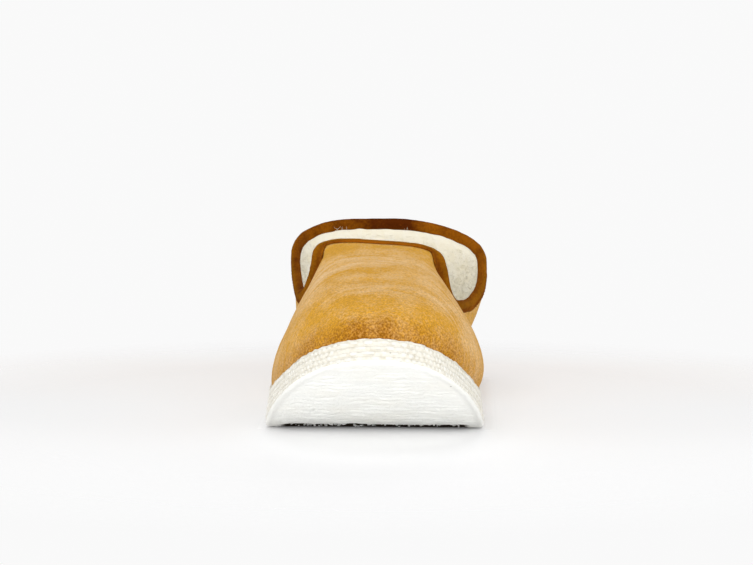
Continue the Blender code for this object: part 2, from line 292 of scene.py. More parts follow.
def upperFrame(s):
    names = upperColumns[1:]
    rows = {name: column(upperRows, upperColumns, name) for name in names}
    knots = np.arccos(1.0 - 2.0 * rows["foot"]) / math.pi
    inner = slice(len(knots) - 2, 0, -1)
    knots = np.concatenate([knots, 2.0 - knots[inner]])
    value = {}
    for name in names[1:]:
        outerSign = -1.0 if name in sideways else 1.0
        loop = np.concatenate([outerSign * rows[name], rows[name][inner]])
        value[name] = loopSpline(knots, loop, s, 2.0)

    rimD = value["rimAt"] * form["length"]
    wide = value["rimWide"] * form["ballWidth"] / 2.0
    behind = (value["rimAt"] - rows["rimAt"][0]) / (rows["rimAt"][-1] - rows["rimAt"][0])
    height = form["instepHeight"] + (form["heelHeight"] - form["instepHeight"]) * behind
    rim = np.stack([
        swing(rimD) + wide - value["flare"],
        rimD - form["length"] / 2.0,
        value["rimHigh"] * height - (form["rimTilt"] + form["heelTilt"] * behind) * wide,
    ], axis=-1)
    belly = value["belly"]
    for at, reach, out, down, more in form["rimBends"]:
        bend = hump(np.mod(s, 2.0), at, reach)
        rim[..., 0] += out * bend
        rim[..., 2] -= down * bend
        belly = belly + more * bend
    share = np.minimum(np.mod(s, 2.0), 2.0 - np.mod(s, 2.0))
    throat = smooth(*form["throatFrom"], share) * fadeOut(*form["throatTo"], share)
    rim[..., 0] -= form["throatIn"] * throat * fromToe(s)[1]
    lean = form["lean"] * fadeOut(*form["leanFades"], fromToe(s)[0] / form["length"])
    lean = np.stack([lean, 0.0 * lean, 0.0 * lean], axis=-1)
    pull = np.stack([value["pullWide"], -value["pullForward"], -value["pullDown"]], axis=-1)
    foot = solePoint(s, 1.0, form["taper"] + form["topEdge"] + form["featherInset"], form["gap"])
    outX, outD = outlineNormal(s)
    lift = np.stack([outX * belly, outD * belly, value["rise"]], axis=-1)
    return foot, foot + lift + lean, rim + pull, rim, value["flare"]


def onWall(handles, v):   # v: 0 at the sole, 1 at the rim
    foot, low, high, rim, flare = handles
    v = np.asarray(v, float)[..., None]
    u = 1.0 - v
    point = u ** 3 * foot + 3.0 * u * u * v * low + 3.0 * u * v * v * high + v ** 3 * rim
    point[..., 0] += flare * v[..., 0] ** form["flarePower"]
    return point


def upperPoint(s, v):
    return onWall(upperFrame(s), v)


def upTheWall(s, v):
    handles = upperFrame(s)
    return (onWall(handles, v + nudge) - onWall(handles, v - nudge)) / (2.0 * nudge)


def roundTheFoot(s, v):
    return upperPoint(s + nudge, v) - upperPoint(s - nudge, v)


def upperNormal(s, v):
    return unit(np.cross(upTheWall(s, v), roundTheFoot(s, v)))


def stations(count):
    return np.arange(count) * 2.0 / count


def restOfWall(points):   # mm of wall from each row to the last one
    steps = np.linalg.norm(np.diff(points, axis=0), axis=-1)
    return np.concatenate([np.cumsum(steps[::-1], axis=0)[::-1], np.zeros((1, points.shape[1]))])


def belowRim(s, drops):   # places up the wall that lie so many mm below the rim, a row for each drop
    v = np.linspace(0.4, 1.0, 61)
    handles = upperFrame(s)
    below = restOfWall(np.array([onWall(handles, np.full(len(s), share)) for share in v]))
    drops = np.broadcast_to(np.asarray(drops, float).reshape(len(drops), -1), (len(drops), len(s)))
    return np.array([np.interp(drops[:, i], below[::-1, i], v[::-1]) for i in range(len(s))]).T


# the solids stand with their box's middle over the origin; the formulas start at the toe tip
soleLow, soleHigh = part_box("outsole")
wallShares = (0.03, 0.1, 1.0)   # the widest rings of the sole's wall
edge = np.concatenate([solePoint(stations(88), share, form["taper"] * share) for share in wallShares])
ringMiddle = (edge.min(axis=0) + edge.max(axis=0)) / 2.0
soleMiddle = (np.array(soleLow) + np.array(soleHigh)) / 2.0 / mm
shift = np.array([soleMiddle[0] - ringMiddle[0], soleMiddle[1] - ringMiddle[1], 0.0])
print("shift of the formulas, mm:", shift.round(2))


# mesh helpers
def ringFaces(rings, around, closed=False):   # quads between rings, facing out of the foot
    i = np.arange(around)
    j = (i + 1) % around
    low = np.arange(rings if closed else rings - 1)
    high = (low + 1) % rings
    low = low[:, None] * around
    high = high[:, None] * around
    return np.stack([low + i, high + i, high + j, low + j], axis=-1).reshape(-1, 4)


def spanRows(ring, columns):   # rows across a ring, from its outer to its inner side
    half = len(ring) // 2
    share = np.linspace(0.0, 1.0, columns + 1)[None, :, None]
    left = ring[1:half][:, None, :]
    right = ring[:half:-1][:, None, :]
    return left + (right - left) * share


def spanFaces(rows, columns):   # last two points are the tips
    wide = columns + 1
    i = np.arange(columns)
    low = np.arange(rows - 1)[:, None] * wide
    corners = [low + i, low + i + 1, low + wide + i + 1, low + wide + i]
    faces = np.stack(corners, axis=-1).reshape(-1, 4).tolist()
    first, last = rows * wide, rows * wide + 1
    faces += [(first, k + 1, k) for k in range(columns)]
    faces += [(last, (rows - 1) * wide + k, (rows - 1) * wide + k + 1) for k in range(columns)]
    return faces


def capChunk(ring, rows):   # a lid across a ring, with its two tips
    half = len(ring) // 2
    points = np.concatenate([rows.reshape(-1, 3), ring[:1], ring[half:half + 1]])
    return points, spanFaces(half - 1, rows.shape[1] - 1)


def buildMesh(name, chunks):
    points = np.concatenate([chunk[0].reshape(-1, 3) for chunk in chunks])
    faces = []
    start = 0
    for chunkPoints, chunkFaces in chunks:
        faces += [[start + k for k in face] for face in chunkFaces]
        start += chunkPoints.reshape(-1, 3).shape[0]
    mesh = bpy.data.meshes.new(name)
    mesh.from_pydata(((points + shift) * mm).tolist(), [], faces)
    if len(chunks) > 1:
        bm = bmesh.new()
        bm.from_mesh(mesh)
        bmesh.ops.remove_doubles(bm, verts=bm.verts, dist=1e-6)
        bmesh.ops.recalc_face_normals(bm, faces=bm.faces)
        bm.to_mesh(mesh)
        bm.free()
    mesh.shade_smooth()
    return mesh


def newPiece(name, mesh, material):
    mesh.materials.clear()
    mesh.materials.append(material)
    piece = bpy.data.objects.new(name, mesh)
    scene.collection.objects.link(piece)
    return piece


def keepValues(mesh, name, values):   # one number per point, for the materials
    mesh.attributes.new(name, "FLOAT", "POINT").data.foreach_set("value", values.ravel().astype(np.float32))


def settle(piece):   # live modifiers become a plain mesh
    depsgraph = bpy.context.evaluated_depsgraph_get()
    mesh = bpy.data.meshes.new_from_object(piece.evaluated_get(depsgraph))
    piece.modifiers.clear()
    old = piece.data
    piece.data = mesh
    bpy.data.meshes.remove(old)
    mesh.shade_smooth()
    return piece


def seat(piece, node=None):
    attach(piece, "root")
    if node:
        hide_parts(node)
    print(f"{piece.name}: {sum(len(p.vertices) - 2 for p in piece.data.polygons)} triangles")


# node helpers
def feed(tree, socket, value):   # a link or a plain value
    if isinstance(value, bpy.types.NodeSocket):
        tree.links.new(value, socket)
    else:
        socket.default_value = value


def addNode(tree, kind, inputs=None, **settings):
    made = tree.nodes.new(kind)
    for key, value in settings.items():
        setattr(made, key, value)
    for key, value in (inputs or {}).items():
        feed(tree, made.inputs[key], value)
    return made


def sockets(kind, *labels):
    return [(label, "NodeSocket" + kind) for label in labels]


def newTree(kind, name, inputs, outputs):
    tree = bpy.data.node_groups.new(name, kind)
    for label, socketKind in inputs:
        tree.interface.new_socket(label, in_out="INPUT", socket_type=socketKind)
    for label, socketKind in outputs:
        tree.interface.new_socket(label, in_out="OUTPUT", socket_type=socketKind)
    start = tree.nodes.new("NodeGroupInput")
    end = tree.nodes.new("NodeGroupOutput")
    return tree, start.outputs, end.inputs


def math2(tree, operation, a, b):
    return addNode(tree, "ShaderNodeMath", {0: a, 1: b}, operation=operation).outputs[0]


def scaled(tree, value, factor, plus):
    inputs = {0: value, 1: factor, 2: plus}
    return addNode(tree, "ShaderNodeMath", inputs, operation="MULTIPLY_ADD").outputs[0]


def clamp(tree, value):
    return addNode(tree, "ShaderNodeClamp", {"Value": value}).outputs[0]


def vector2(tree, operation, a, b=(0.0, 0.0, 0.0)):
    return addNode(tree, "ShaderNodeVectorMath", {0: a, 1: b}, operation=operation).outputs


def keptValue(tree, name):   # what keepValues left on the mesh
    return addNode(tree, "ShaderNodeAttribute", attribute_name=name).outputs["Fac"]


def remap(tree, value, low, high, toLow=0.0, toHigh=1.0):
    inputs = {"Value": value, "From Min": low, "From Max": high, "To Min": toLow, "To Max": toHigh}
    return addNode(tree, "ShaderNodeMapRange", inputs).outputs["Result"]


def mixColour(tree, share, a, b, blend="MIX"):
    made = addNode(tree, "ShaderNodeMix", {0: share}, data_type="RGBA", blend_type=blend)
    for index, colour in ((6, a), (7, b)):
        feed(tree, made.inputs[index], (*colour, 1.0) if isinstance(colour, tuple) else colour)
    return made.outputs[2]


def noiseAt(tree, vector, size, detail=2.0, rough=0.5):   # size in metres, a value or a socket
    scale = math2(tree, "DIVIDE", 1.0, size)
    inputs = {"Vector": vector, "Scale": scale, "Detail": detail, "Roughness": rough}
    return addNode(tree, "ShaderNodeTexNoise", inputs).outputs["Fac"]


def newMaterial(name, roughness, sheen=0.0, sheenTint=(1, 1, 1), specular=0.3):
    material = bpy.data.materials.new(name)
    material.use_nodes = True
    tree = material.node_tree
    shader = tree.nodes["Principled BSDF"]
    values = {"Roughness": roughness, "Specular IOR Level": specular, "Sheen Weight": sheen,
              "Sheen Roughness": 0.5, "Sheen Tint": (*sheenTint, 1.0)}
    for key, value in values.items():
        shader.inputs[key].default_value = value
    where = addNode(tree, "ShaderNodeTexCoord").outputs["Object"]
    return material, tree, shader, where


def dress(tree, shader, colour, height=None, depth=0.0, strength=1.0):
    tree.links.new(colour, shader.inputs["Base Color"])
    if height is not None:
        made = addNode(tree, "ShaderNodeBump", {"Height": height, "Distance": depth, "Strength": strength})
        tree.links.new(made.outputs["Normal"], shader.inputs["Normal"])


# shared effects: the nap of suede and the clumps of wool
def makeNapGroup():
    inputs = sockets("Vector", "Vector") + sockets("Float", "Patch Size", "Grain Size")
    outputs = sockets("Float", "Patch", "Grain", "Fleck", "Height")
    tree, start, end = newTree("ShaderNodeTree", "suedeNap", inputs, outputs)
    patch = noiseAt(tree, start["Vector"], start["Patch Size"], 4.0, 0.55)
    grain = noiseAt(tree, start["Vector"], start["Grain Size"], 3.0, 0.6)
    fine = noiseAt(tree, start["Vector"], math2(tree, "MULTIPLY", start["Grain Size"], 0.55), 2.0)
    tree.links.new(remap(tree, patch, 0.33, 0.67), end["Patch"])
    tree.links.new(remap(tree, grain, 0.30, 0.70), end["Grain"])
    tree.links.new(remap(tree, fine, 0.34, 0.66), end["Fleck"])
    tree.links.new(scaled(tree, fine, 0.7, grain), end["Height"])
    return tree


def makeClumpGroup():
    inputs = sockets("Vector", "Vector") + sockets("Float", "Clump Size")
    tree, start, end = newTree("ShaderNodeTree", "woolClumps", inputs, sockets("Float", "Shade", "Height"))
    clump = noiseAt(tree, start["Vector"], start["Clump Size"], 3.0, 0.6)
    curl = noiseAt(tree, start["Vector"], math2(tree, "MULTIPLY", start["Clump Size"], 0.25), 2.0)
    tree.links.new(remap(tree, clump, 0.3, 0.7), end["Shade"])
    tree.links.new(scaled(tree, curl, 0.5, clump), end["Height"])
    return tree


napGroup = makeNapGroup()
clumpGroup = makeClumpGroup()


def useGroup(tree, group, inputs):
    return addNode(tree, "ShaderNodeGroup", inputs, node_tree=group).outputs


# geometry node trees: bits seated on a surface, hairs on a surface, and threads along a path
def newGeometryTree(name, inputs):
    inputs = sockets("Geometry", "Geometry") + inputs + sockets("Material", "Material")
    return newTree("GeometryNodeTree", name, inputs, sockets("Geometry", "Geometry"))


def closeTree(tree, start, end, grown):   # the end of every tree: a real mesh in its own material
    real = addNode(tree, "GeometryNodeRealizeInstances", {"Geometry": grown})
    shown = addNode(tree, "GeometryNodeSetMaterial",
                    {"Geometry": real.outputs["Geometry"], "Material": start["Material"]})
    tree.links.new(shown.outputs["Geometry"], end["Geometry"])
    return tree


def makeBitsTree():
    inputs = sockets("Float", "Uneven") + sockets("Int", "Seed")
    tree, start, end = newGeometryTree("seatedBits", inputs)
    vectors = {}
    for name in ("along", "out", "size"):
        named = addNode(tree, "GeometryNodeInputNamedAttribute", {"Name": name}, data_type="FLOAT_VECTOR")
        vectors[name] = named.outputs["Attribute"]
    turn = addNode(tree, "FunctionNodeAxesToRotation", {0: vectors["out"], 1: vectors["along"]},
                   primary_axis="Z", secondary_axis="X")
    low = math2(tree, "SUBTRACT", 1.0, start["Uneven"])
    high = math2(tree, "ADD", 1.0, start["Uneven"])
    spread = addNode(tree, "FunctionNodeRandomValue", {0: low, 1: high, "Seed": start["Seed"]},
                     data_type="FLOAT_VECTOR")
    scale = vector2(tree, "MULTIPLY", vectors["size"], spread.outputs[0])[0]
    cube = addNode(tree, "GeometryNodeMeshCube", {"Size": (1.0, 1.0, 1.0)})
    pillow = addNode(tree, "GeometryNodeSubdivisionSurface", {"Mesh": cube.outputs["Mesh"], "Level": 1})
    bits = addNode(tree, "GeometryNodeInstanceOnPoints", {
        "Points": start["Geometry"], "Instance": pillow.outputs["Mesh"],
        "Rotation": turn.outputs[0], "Scale": scale})
    return closeTree(tree, start, end, bits.outputs["Instances"])


def makeHairTree():
    inputs = sockets("Float", "Density", "Length", "Thickness", "Least Lean", "Most Lean")
    tree, start, end = newGeometryTree("pileHairs", inputs + sockets("Int", "Seed"))
    roots = addNode(tree, "GeometryNodeDistributePointsOnFaces", {
        "Mesh": start["Geometry"], "Density": start["Density"], "Seed": start["Seed"]},
        distribute_method="RANDOM")
    hair = addNode(tree, "GeometryNodeMeshCone", {
        "Vertices": 3, "Side Segments": 2, "Radius Top": 0.0, "Radius Bottom": start["Thickness"],
        "Depth": start["Length"]}, fill_type="NONE")
    place = addNode(tree, "GeometryNodeInputPosition")
    high = addNode(tree, "ShaderNodeSeparateXYZ", {0: place.outputs[0]}).outputs["Z"]
    span = math2(tree, "MULTIPLY", start["Length"], 2.0)
    curl = math2(tree, "DIVIDE", math2(tree, "MULTIPLY", high, high), span)
    offset = addNode(tree, "ShaderNodeCombineXYZ", {"X": curl})
    bent = addNode(tree, "GeometryNodeSetPosition", {
        "Geometry": hair.outputs["Mesh"], "Offset": offset.outputs[0]})
    leanLow = addNode(tree, "ShaderNodeCombineXYZ", {"X": start["Least Lean"], "Z": 0.0})
    leanHigh = addNode(tree, "ShaderNodeCombineXYZ", {"X": start["Most Lean"], "Z": 2.0 * math.pi})
    lean = addNode(tree, "FunctionNodeRandomValue", {
        0: leanLow.outputs[0], 1: leanHigh.outputs[0], "Seed": start["Seed"]}, data_type="FLOAT_VECTOR")
    turn = addNode(tree, "FunctionNodeEulerToRotation", {0: lean.outputs[0]})
    aimed = addNode(tree, "FunctionNodeRotateRotation", {
        0: roots.outputs["Rotation"], 1: turn.outputs[0]}, rotation_space="LOCAL")
    size = addNode(tree, "FunctionNodeRandomValue", {
        2: 0.6, 3: 1.25, "Seed": start["Seed"]}, data_type="FLOAT")
    hairs = addNode(tree, "GeometryNodeInstanceOnPoints", {
        "Points": roots.outputs["Points"], "Instance": bent.outputs["Geometry"],
        "Rotation": aimed.outputs[0], "Scale": size.outputs[1]})
    return closeTree(tree, start, end, hairs.outputs["Instances"])


def makeThreadTree():
    tree, start, end = newGeometryTree("looseThreads", sockets("Float", "Thickness"))
    path = addNode(tree, "GeometryNodeMeshToCurve", {"Mesh": start["Geometry"]})
    section = addNode(tree, "GeometryNodeCurvePrimitiveCircle", {
        "Resolution": 4, "Radius": start["Thickness"]})
    tube = addNode(tree, "GeometryNodeCurveToMesh", {
        "Curve": path.outputs["Curve"], "Profile Curve": section.outputs["Curve"], "Fill Caps": True})
    return closeTree(tree, start, end, tube.outputs["Mesh"])


bitsTree = makeBitsTree()
hairTree = makeHairTree()
threadTree = makeThreadTree()


def grow(name, mesh, tree, values):   # runs a geometry node tree on a mesh and keeps the plain result
    piece = bpy.data.objects.new(name, mesh)
    scene.collection.objects.link(piece)
    modifier = piece.modifiers.new(tree.name, "NODES")
    modifier.node_group = tree
    for item in tree.interface.items_tree:
        if item.in_out == "INPUT" and item.name in values:
            modifier[item.identifier] = values[item.name]
    return settle(piece)


def pointMesh(name, points, along, out, size):   # loose points that carry the way their bits lie
    mesh = bpy.data.meshes.new(name)
    mesh.from_pydata(((points + shift) * mm).tolist(), [], [])
    for label, vectors in (("along", along), ("out", out), ("size", size * mm)):
        data = mesh.attributes.new(label, "FLOAT_VECTOR", "POINT").data
        data.foreach_set("vector", np.broadcast_to(vectors, points.shape).ravel().astype(np.float32))
    return mesh


# suede upper
suede = {
    "around": 420,
    "rows": 96,
    "smoothNear": (6.0, 10.0),     # mm below the rim, where the binding presses it smooth
    "waves": ((0.55, 26.0, 1), (0.20, 9.0, 2), (0.05, 3.0, 3)),   # height and size in mm, seed
    "wavesFrom": 12.0,             # mm above the sole, where they are in full
    "edge": ((0.35, 7.0, 4), (0.20, 2.6, 5)),
    "edgeDrop": 0.4,               # mm, the edge tucked in behind the band
    "edgeReach": 3.0,
    "ridgeHighlight": 0.35,                 # mm of fold lift at which a fold ridge gets its full painted highlight
    "gold": (0.560, 0.280, 0.022),
    "pale": (0.680, 0.455, 0.228),
    "deep": (0.270, 0.098, 0.006),
    "fleck": (0.78, 1.19),         # how dark and bright single flecks of nap are
    "patchSize": 0.013,            # metres
    "grainSize": 0.0016,
    "napDepth": 0.0009,
    "strokeSize": 0.0042,
    "strokeBow": 13.0,             # per metre, how brushed strokes curve
    "strokeAcross": 0.10,          # they run across, so this way they are drawn out
    "strokes": (-0.10, 1.0),       # how much paler between strokes and on them
    "paleFrom": -0.18,             # how pale it is at the least, and what patches, grain and gold add or take
    "patchPale": 0.50,
    "grainPale": 0.50,
    "goldTakes": 0.45,
    "nearSole": 0.60,              # how dark it is along the sole: partly painted shade, partly the suede's own darker tone
}

# soft folds across the vamp, in mm: from the toe, across, half span, how far its ends fall back, width, depth
creases = (
    ("under the throat", 109.0, 2.0, 28.0, -9.0, 2.6, 0.16),
    ("tongue fold", 98.0, 6.0, 30.0, -13.0, 2.2, 0.30),
    ("instep fold", 88.0, -8.0, 24.0, -9.0, 2.6, 0.26),
    ("instep side fold", 76.0, 18.0, 18.0, -7.0, 2.2, 0.20),
    ("ball fold", 63.0, -6.0, 30.0, -10.0, 3.4, 0.20),
    ("inner ball fold", 50.0, 24.0, 18.0, -8.0, 2.4, 0.22),
    ("outer ball fold", 44.0, -22.0, 18.0, -8.0, 2.8, 0.18),
)

# where the suede is brighter, paler or darker, in mm: across, from the toe, both reaches, strength; the pale
# rows along the sides are painted sheen
tints = (
    ("gold", -21.0, 113.0, 10.0, 8.0, 0.9),
    ("gold", -4.0, 119.0, 16.0, 5.0, 0.6),
    ("gold", 25.0, 117.0, 8.0, 10.0, 0.9),
    ("gold", -3.0, 78.0, 14.0, 7.0, 0.6),
    ("gold", -10.0, 32.0, 10.0, 9.0, 0.6),
    ("gold", -31.0, 50.0, 7.0, 10.0, 0.1),
    ("gold", 32.0, 37.0, 8.0, 10.0, 0.7),
    ("pale", 6.0, 96.0, 26.0, 9.0, 0.8),
    ("pale", -18.0, 84.0, 10.0, 8.0, 0.5),
    # the next four pale rows are painted sheen along the sides of the vamp
    ("pale", 34.0, 62.0, 9.0, 24.0, 0.5),
    ("pale", -30.0, 80.0, 9.0, 18.0, 0.75),
    ("pale", -46.0, 60.0, 9.0, 30.0, 0.4),
    ("pale", 47.0, 60.0, 9.0, 30.0, 0.4),
    ("pale", 2.0, 45.0, 22.0, 9.0, 0.35),
    ("pale", 0.5, 14.0, 3.0, 4.0, 0.5),
    ("deep", -5.0, 12.0, 6.0, 6.0, 0.60),
    ("deep", 6.5, 13.0, 5.0, 7.0, 0.65),
    ("deep", -14.0, 15.0, 9.0, 6.0, 0.30),
    ("deep", 22.0, 15.0, 10.0, 7.0, 0.25),
    ("deep", -30.0, 26.0, 12.0, 9.0, 0.3),
    ("deep", 36.0, 28.0, 10.0, 9.0, 0.3),
)


def creaseLift(points):
    x = points[..., 0]
    d = behindToe(points)
    lift = np.zeros_like(x)
    for name, at, across, span, bow, width, depth in creases:
        u = (x - across) / span
        t = (d - at - bow * u * u) / width
        fade = np.clip(1.0 - u * u, 0.0, 1.0) ** 2
        lift += depth * fade * (0.75 * hump(t, 1.5, 1.0) - hump(t, 0.0, 1.0))   # a dip with a ridge behind it
    return lift


def tintAt(points, kind):
    x = points[..., 0]
    d = behindToe(points)
    total = np.zeros_like(x)
    for name, across, at, wide, long, strength in tints:
        if name == kind:
            total += strength * np.exp(-((x - across) / wide) ** 2 - ((d - at) / long) ** 2)
    return np.clip(total, 0.0, 1.0)


def makeSuede():
    material, tree, shader, where = newMaterial(
        "ochreSuede", 0.95, sheen=0.10, sheenTint=(1.0, 0.80, 0.55), specular=0.03)
    nap = useGroup(tree, napGroup, {
        "Vector": where, "Patch Size": suede["patchSize"], "Grain Size": suede["grainSize"]})
    kept = {name: keptValue(tree, name) for name in ("gold", "pale", "deep", "nearSole", "coarse")}
    axis = addNode(tree, "ShaderNodeSeparateXYZ", {0: where}).outputs
    bow = math2(tree, "MULTIPLY", math2(tree, "MULTIPLY", axis["X"], axis["X"]), suede["strokeBow"])
    curved = addNode(tree, "ShaderNodeCombineXYZ", {
        "X": math2(tree, "MULTIPLY", axis["X"], suede["strokeAcross"]),
        "Y": math2(tree, "ADD", axis["Y"], bow)}).outputs[0]
    brushed = remap(tree, noiseAt(tree, curved, suede["strokeSize"], 4.0, 0.65), 0.42, 0.60)
    strokes = math2(tree, "MULTIPLY", kept["pale"], remap(tree, brushed, 0.0, 1.0, *suede["strokes"]))
    share = scaled(tree, nap["Patch"], suede["patchPale"], suede["paleFrom"])
    share = scaled(tree, nap["Grain"], suede["grainPale"], share)
    share = scaled(tree, kept["gold"], -suede["goldTakes"], math2(tree, "ADD", share, strokes))
    colour = mixColour(tree, clamp(tree, share), suede["gold"], suede["pale"])
    dark = scaled(tree, kept["nearSole"], suede["nearSole"], kept["deep"])
    dark = math2(tree, "MULTIPLY", dark, remap(tree, nap["Fleck"], 0.0, 1.0, 1.0, 0.5))
    colour = mixColour(tree, clamp(tree, dark), colour, suede["deep"])
    shade = remap(tree, nap["Fleck"], 0.0, 1.0, *suede["fleck"])
    colour = mixColour(tree, kept["coarse"], colour, mixColour(tree, 1.0, colour, shade, "MULTIPLY"))
    dress(tree, shader, colour, nap["Height"], suede["napDepth"], 0.8)
    return material


def makeUpper():
    s = stations(suede["around"])
    shares = np.linspace(0.0, 1.0, suede["rows"])
    points = np.array([upperPoint(s, np.full(len(s), v)) for v in shares])
    normals = np.array([upperNormal(s, np.full(len(s), v)) for v in shares])
    below = restOfWall(points)
    above = restOfWall(points[::-1])[::-1]
    fade = smooth(*suede["smoothNear"], below)
    lift = creaseLift(points)
    waves = layered(points, suede["waves"]) * smooth(0.0, suede["wavesFrom"], above)
    points = points + normals * ((lift + waves) * fade)[..., None]
    edge = layered(points, suede["edge"]) - suede["edgeDrop"]
    points[..., 2] += edge * fadeOut(0.0, suede["edgeReach"], above)
    mesh = buildMesh("upper_suede", [(points, ringFaces(len(shares), len(s)))])

    # painted highlight on the ridges of the folds
    ridgeHighlight = np.clip(lift / suede["ridgeHighlight"], 0.0, 1.0) * fade
    lowFront = fadeOut(10.0, 45.0, above) * (1.0 - 0.8 * smooth(22.0, 44.0, np.abs(points[..., 0])))
    front = fadeOut(20.0, 120.0, behindToe(points))
    values = {
        "gold": np.clip(tintAt(points, "gold") + 0.4 * lowFront, 0.0, 1.0),
        "pale": np.clip(tintAt(points, "pale") + 0.5 * ridgeHighlight, 0.0, 1.0),
        "deep": tintAt(points, "deep") * fadeOut(6.0, 24.0, above),
        # darker along the sole, more at the toe: partly painted shade, partly the suede's own tone
        "nearSole": fadeOut(0.0, 16.0, above) * (0.4 + 0.6 * front),
        "coarse": 0.45 + 0.55 * fadeOut(30.0, 85.0, above),
    }
    for name, value in values.items():
        keepValues(mesh, name, value)
    piece = newPiece("upper_suede", mesh, makeSuede())
    shell = piece.modifiers.new("wall", "SOLIDIFY")
    shell.thickness = form["wall"] * mm
    shell.offset = -1.0
    seat(settle(piece), "upper")


makeUpper()


# brown binding, folded over the rim, with its row of stitches
binding = {
    "around": 640,
    # place round the foot, mm on the outer face
    "outside": ((0.0, 2.4), (0.225, 2.5), (0.285, 7.8), (0.36, 6.8), (0.46, 4.4), (0.56, 3.6),
                (0.63, 3.8), (0.72, 6.0), (1.0, 6.0)),
    "inside": 2.7,
    "insideBends": ((1.30, 0.05, -1.2), (1.365, 0.03, -1.3), (0.98, 0.09, 0.5)),   # place, reach, mm more
    "insideLeast": 0.3,
    "thickness": 0.9,
    "thinEdge": 0.5,             # mm less at both cut edges
    "legSteps": 9,
    "crownSteps": 10,
    "uneven": ((0.35, 9.0, 11),),         # height and size in mm, seed
    "insideUneven": ((0.30, 5.0, 14),),
    "pucker": ((0.18, 5.0, 12), (0.07, 1.8, 13)),
    "stitchPath": 800,
    "stitchPitch": 3.4,
    "stitchSize": (2.2, 0.45, 0.4),
    "stitchSunk": 0.05,
    "stitchAt": 0.82,            # share of the strip's outer width
    "stitchFrom": 3.0,           # mm, none where the strip is narrower
    "red": (0.074, 0.0145, 0.0010),
    "brown": (0.245, 0.074, 0.0025),
    # olive: the painted highlight on the folded crown, and the paler cut edges
    "olive": (0.300, 0.131, 0.005),
    "thread": (0.075, 0.020, 0.003),
    # place round the foot, reach, how pale
    "wearAndShade": ((0.985, 0.08, -0.75), (0.90, 0.03, 0.15), (0.0, 0.2, 0.5), (2.0, 0.2, 0.5),
             (0.79, 0.06, 0.2), (1.09, 0.05, 0.45), (1.22, 0.07, 0.35), (1.36, 0.05, 0.2),
             (0.70, 0.04, -0.1), (0.30, 0.05, 0.3), (1.70, 0.05, 0.1)),
    "patchSize": 0.009,          # metres
    "grainSize": 0.0012,
    "napDepth": 0.0006,
}


def makeBrownSuede():
    material, tree, shader, where = newMaterial("brownSuede", 0.95, specular=0.02)
    nap = useGroup(tree, napGroup, {
        "Vector": where, "Patch Size": binding["patchSize"], "Grain Size": binding["grainSize"]})
    mottled = scaled(tree, nap["Patch"], 0.55, math2(tree, "MULTIPLY", nap["Grain"], 0.45))
    share = clamp(tree, math2(tree, "ADD", mottled, keptValue(tree, "wearAndShade")))
    colour = mixColour(tree, share, binding["red"], binding["brown"])
    # the folded crown painted olive: a painted highlight on its rounded top, broken by the grain; the cut
    # edges are paler in their own right
    shineGrain = remap(tree, nap["Grain"], 0.0, 1.0, 0.55, 1.0)
    shine = math2(tree, "MULTIPLY", keptValue(tree, "foldedEdge"), shineGrain)
    colour = mixColour(tree, shine, colour, binding["olive"])
    dress(tree, shader, colour, nap["Height"], binding["napDepth"], 0.7)
    return material


def stripWidth(s):   # narrower across the throat, with a hand-cut edge
    wide = np.interp(np.minimum(s, 2.0 - s), *np.array(binding["outside"]).T)
    return wide + layered(upperPoint(s, np.ones(len(s))), binding["uneven"])


def insideWidth(s):
    wide = binding["inside"] + layered(upperPoint(s, np.ones(len(s))), binding["insideUneven"])
    for at, reach, more in binding["insideBends"]:
        wide = wide + more * hump(s, at, reach)
    return np.maximum(wide, binding["insideLeast"])


